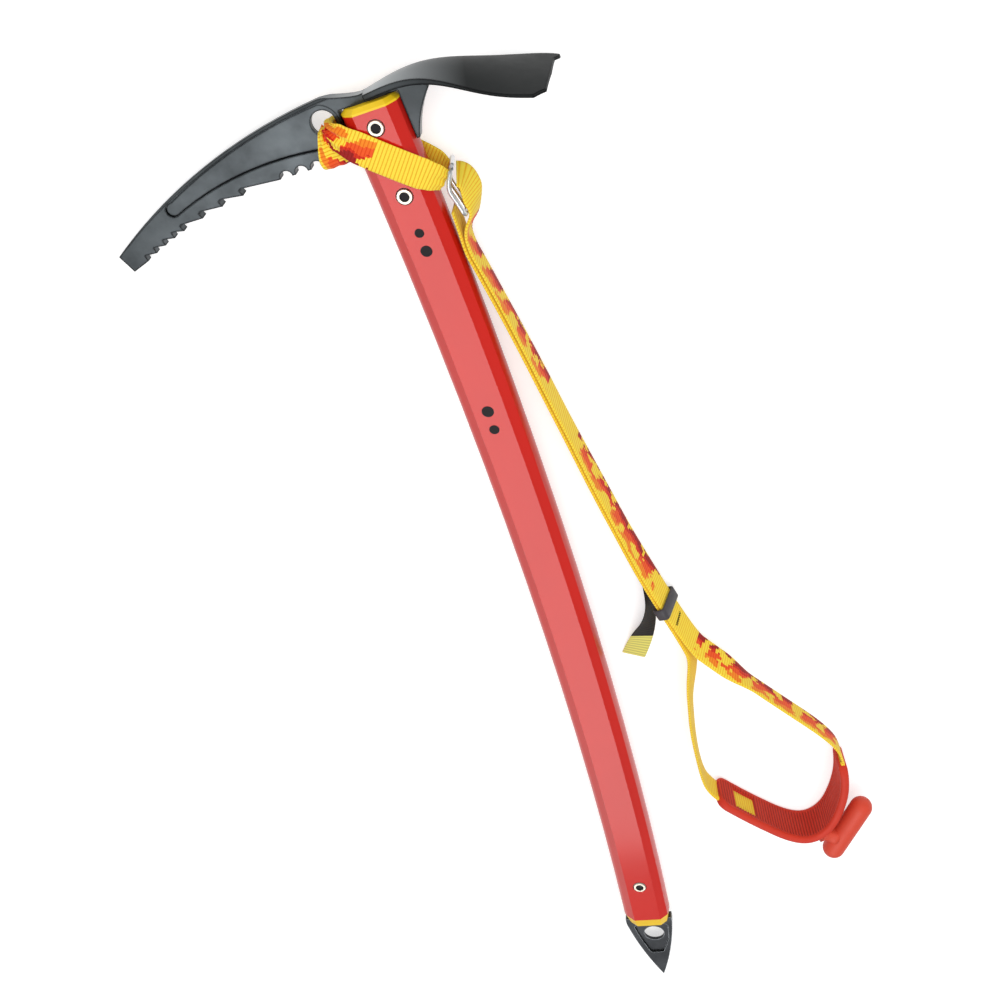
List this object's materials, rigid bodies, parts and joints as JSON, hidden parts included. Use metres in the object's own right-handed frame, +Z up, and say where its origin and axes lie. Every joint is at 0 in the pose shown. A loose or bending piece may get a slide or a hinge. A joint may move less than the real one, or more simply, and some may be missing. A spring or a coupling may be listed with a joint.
{
  "type": "mountaineering ice axe with wrist leash",
  "caption": "Walking ice axe with a toothed pick, an adze, a bowed tube shaft, a spike and a webbing wrist leash with a sliding keeper.",
  "frame": {"origin": "centre of the axe's footprint, on the floor that it lies on", "axes": "+Z up from the floor, the axe lying on one side; the shaft runs along Y with the head toward +Y; the pick points to -X and the adze to +X"},
  "size_m": [0.2852, 0.6644, 0.0624],
  "materials": {
    "forged_steel": "dark satin, blasted after forging",
    "blasted_steel": "grey satin",
    "anodised_tube": "red anodised",
    "moulded_plastic": "yellow, satin moulded",
    "rivet_steel": "bright plated",
    "webbing": "yellow woven nylon",
    "buckle_metal": "tumbled bright",
    "keeper_plastic": "dark grey moulded",
    "pad_rubber": "red moulded rubber",
    "tag_fabric": "black woven label with a plain yellow end"
  },
  "bodies": {
    "axe": {"head": "forged_steel", "shaft": "anodised_tube", "head_plug": "moulded_plastic", "head_rivets": "rivet_steel", "spike": "blasted_steel", "spike_collar": "moulded_plastic", "spike_rivet": "rivet_steel", "leash_anchor_loop": "webbing", "leash_buckle": "buckle_metal", "leash_strap_outer": "webbing", "leash_strap_inner": "webbing", "wrist_pad": "pad_rubber", "pad_webbing": "webbing", "grip_bar": "pad_rubber", "leash_tag": "tag_fabric"},
    "keeper": {"keeper_ring": "keeper_plastic"}
  },
  "joints": [
    {"name": "keeper_slide", "type": "slide", "parent": "axe", "child": "keeper", "axis": [0.1743, -0.9847, 0], "range_m": [0, 0.022]}
  ]
}
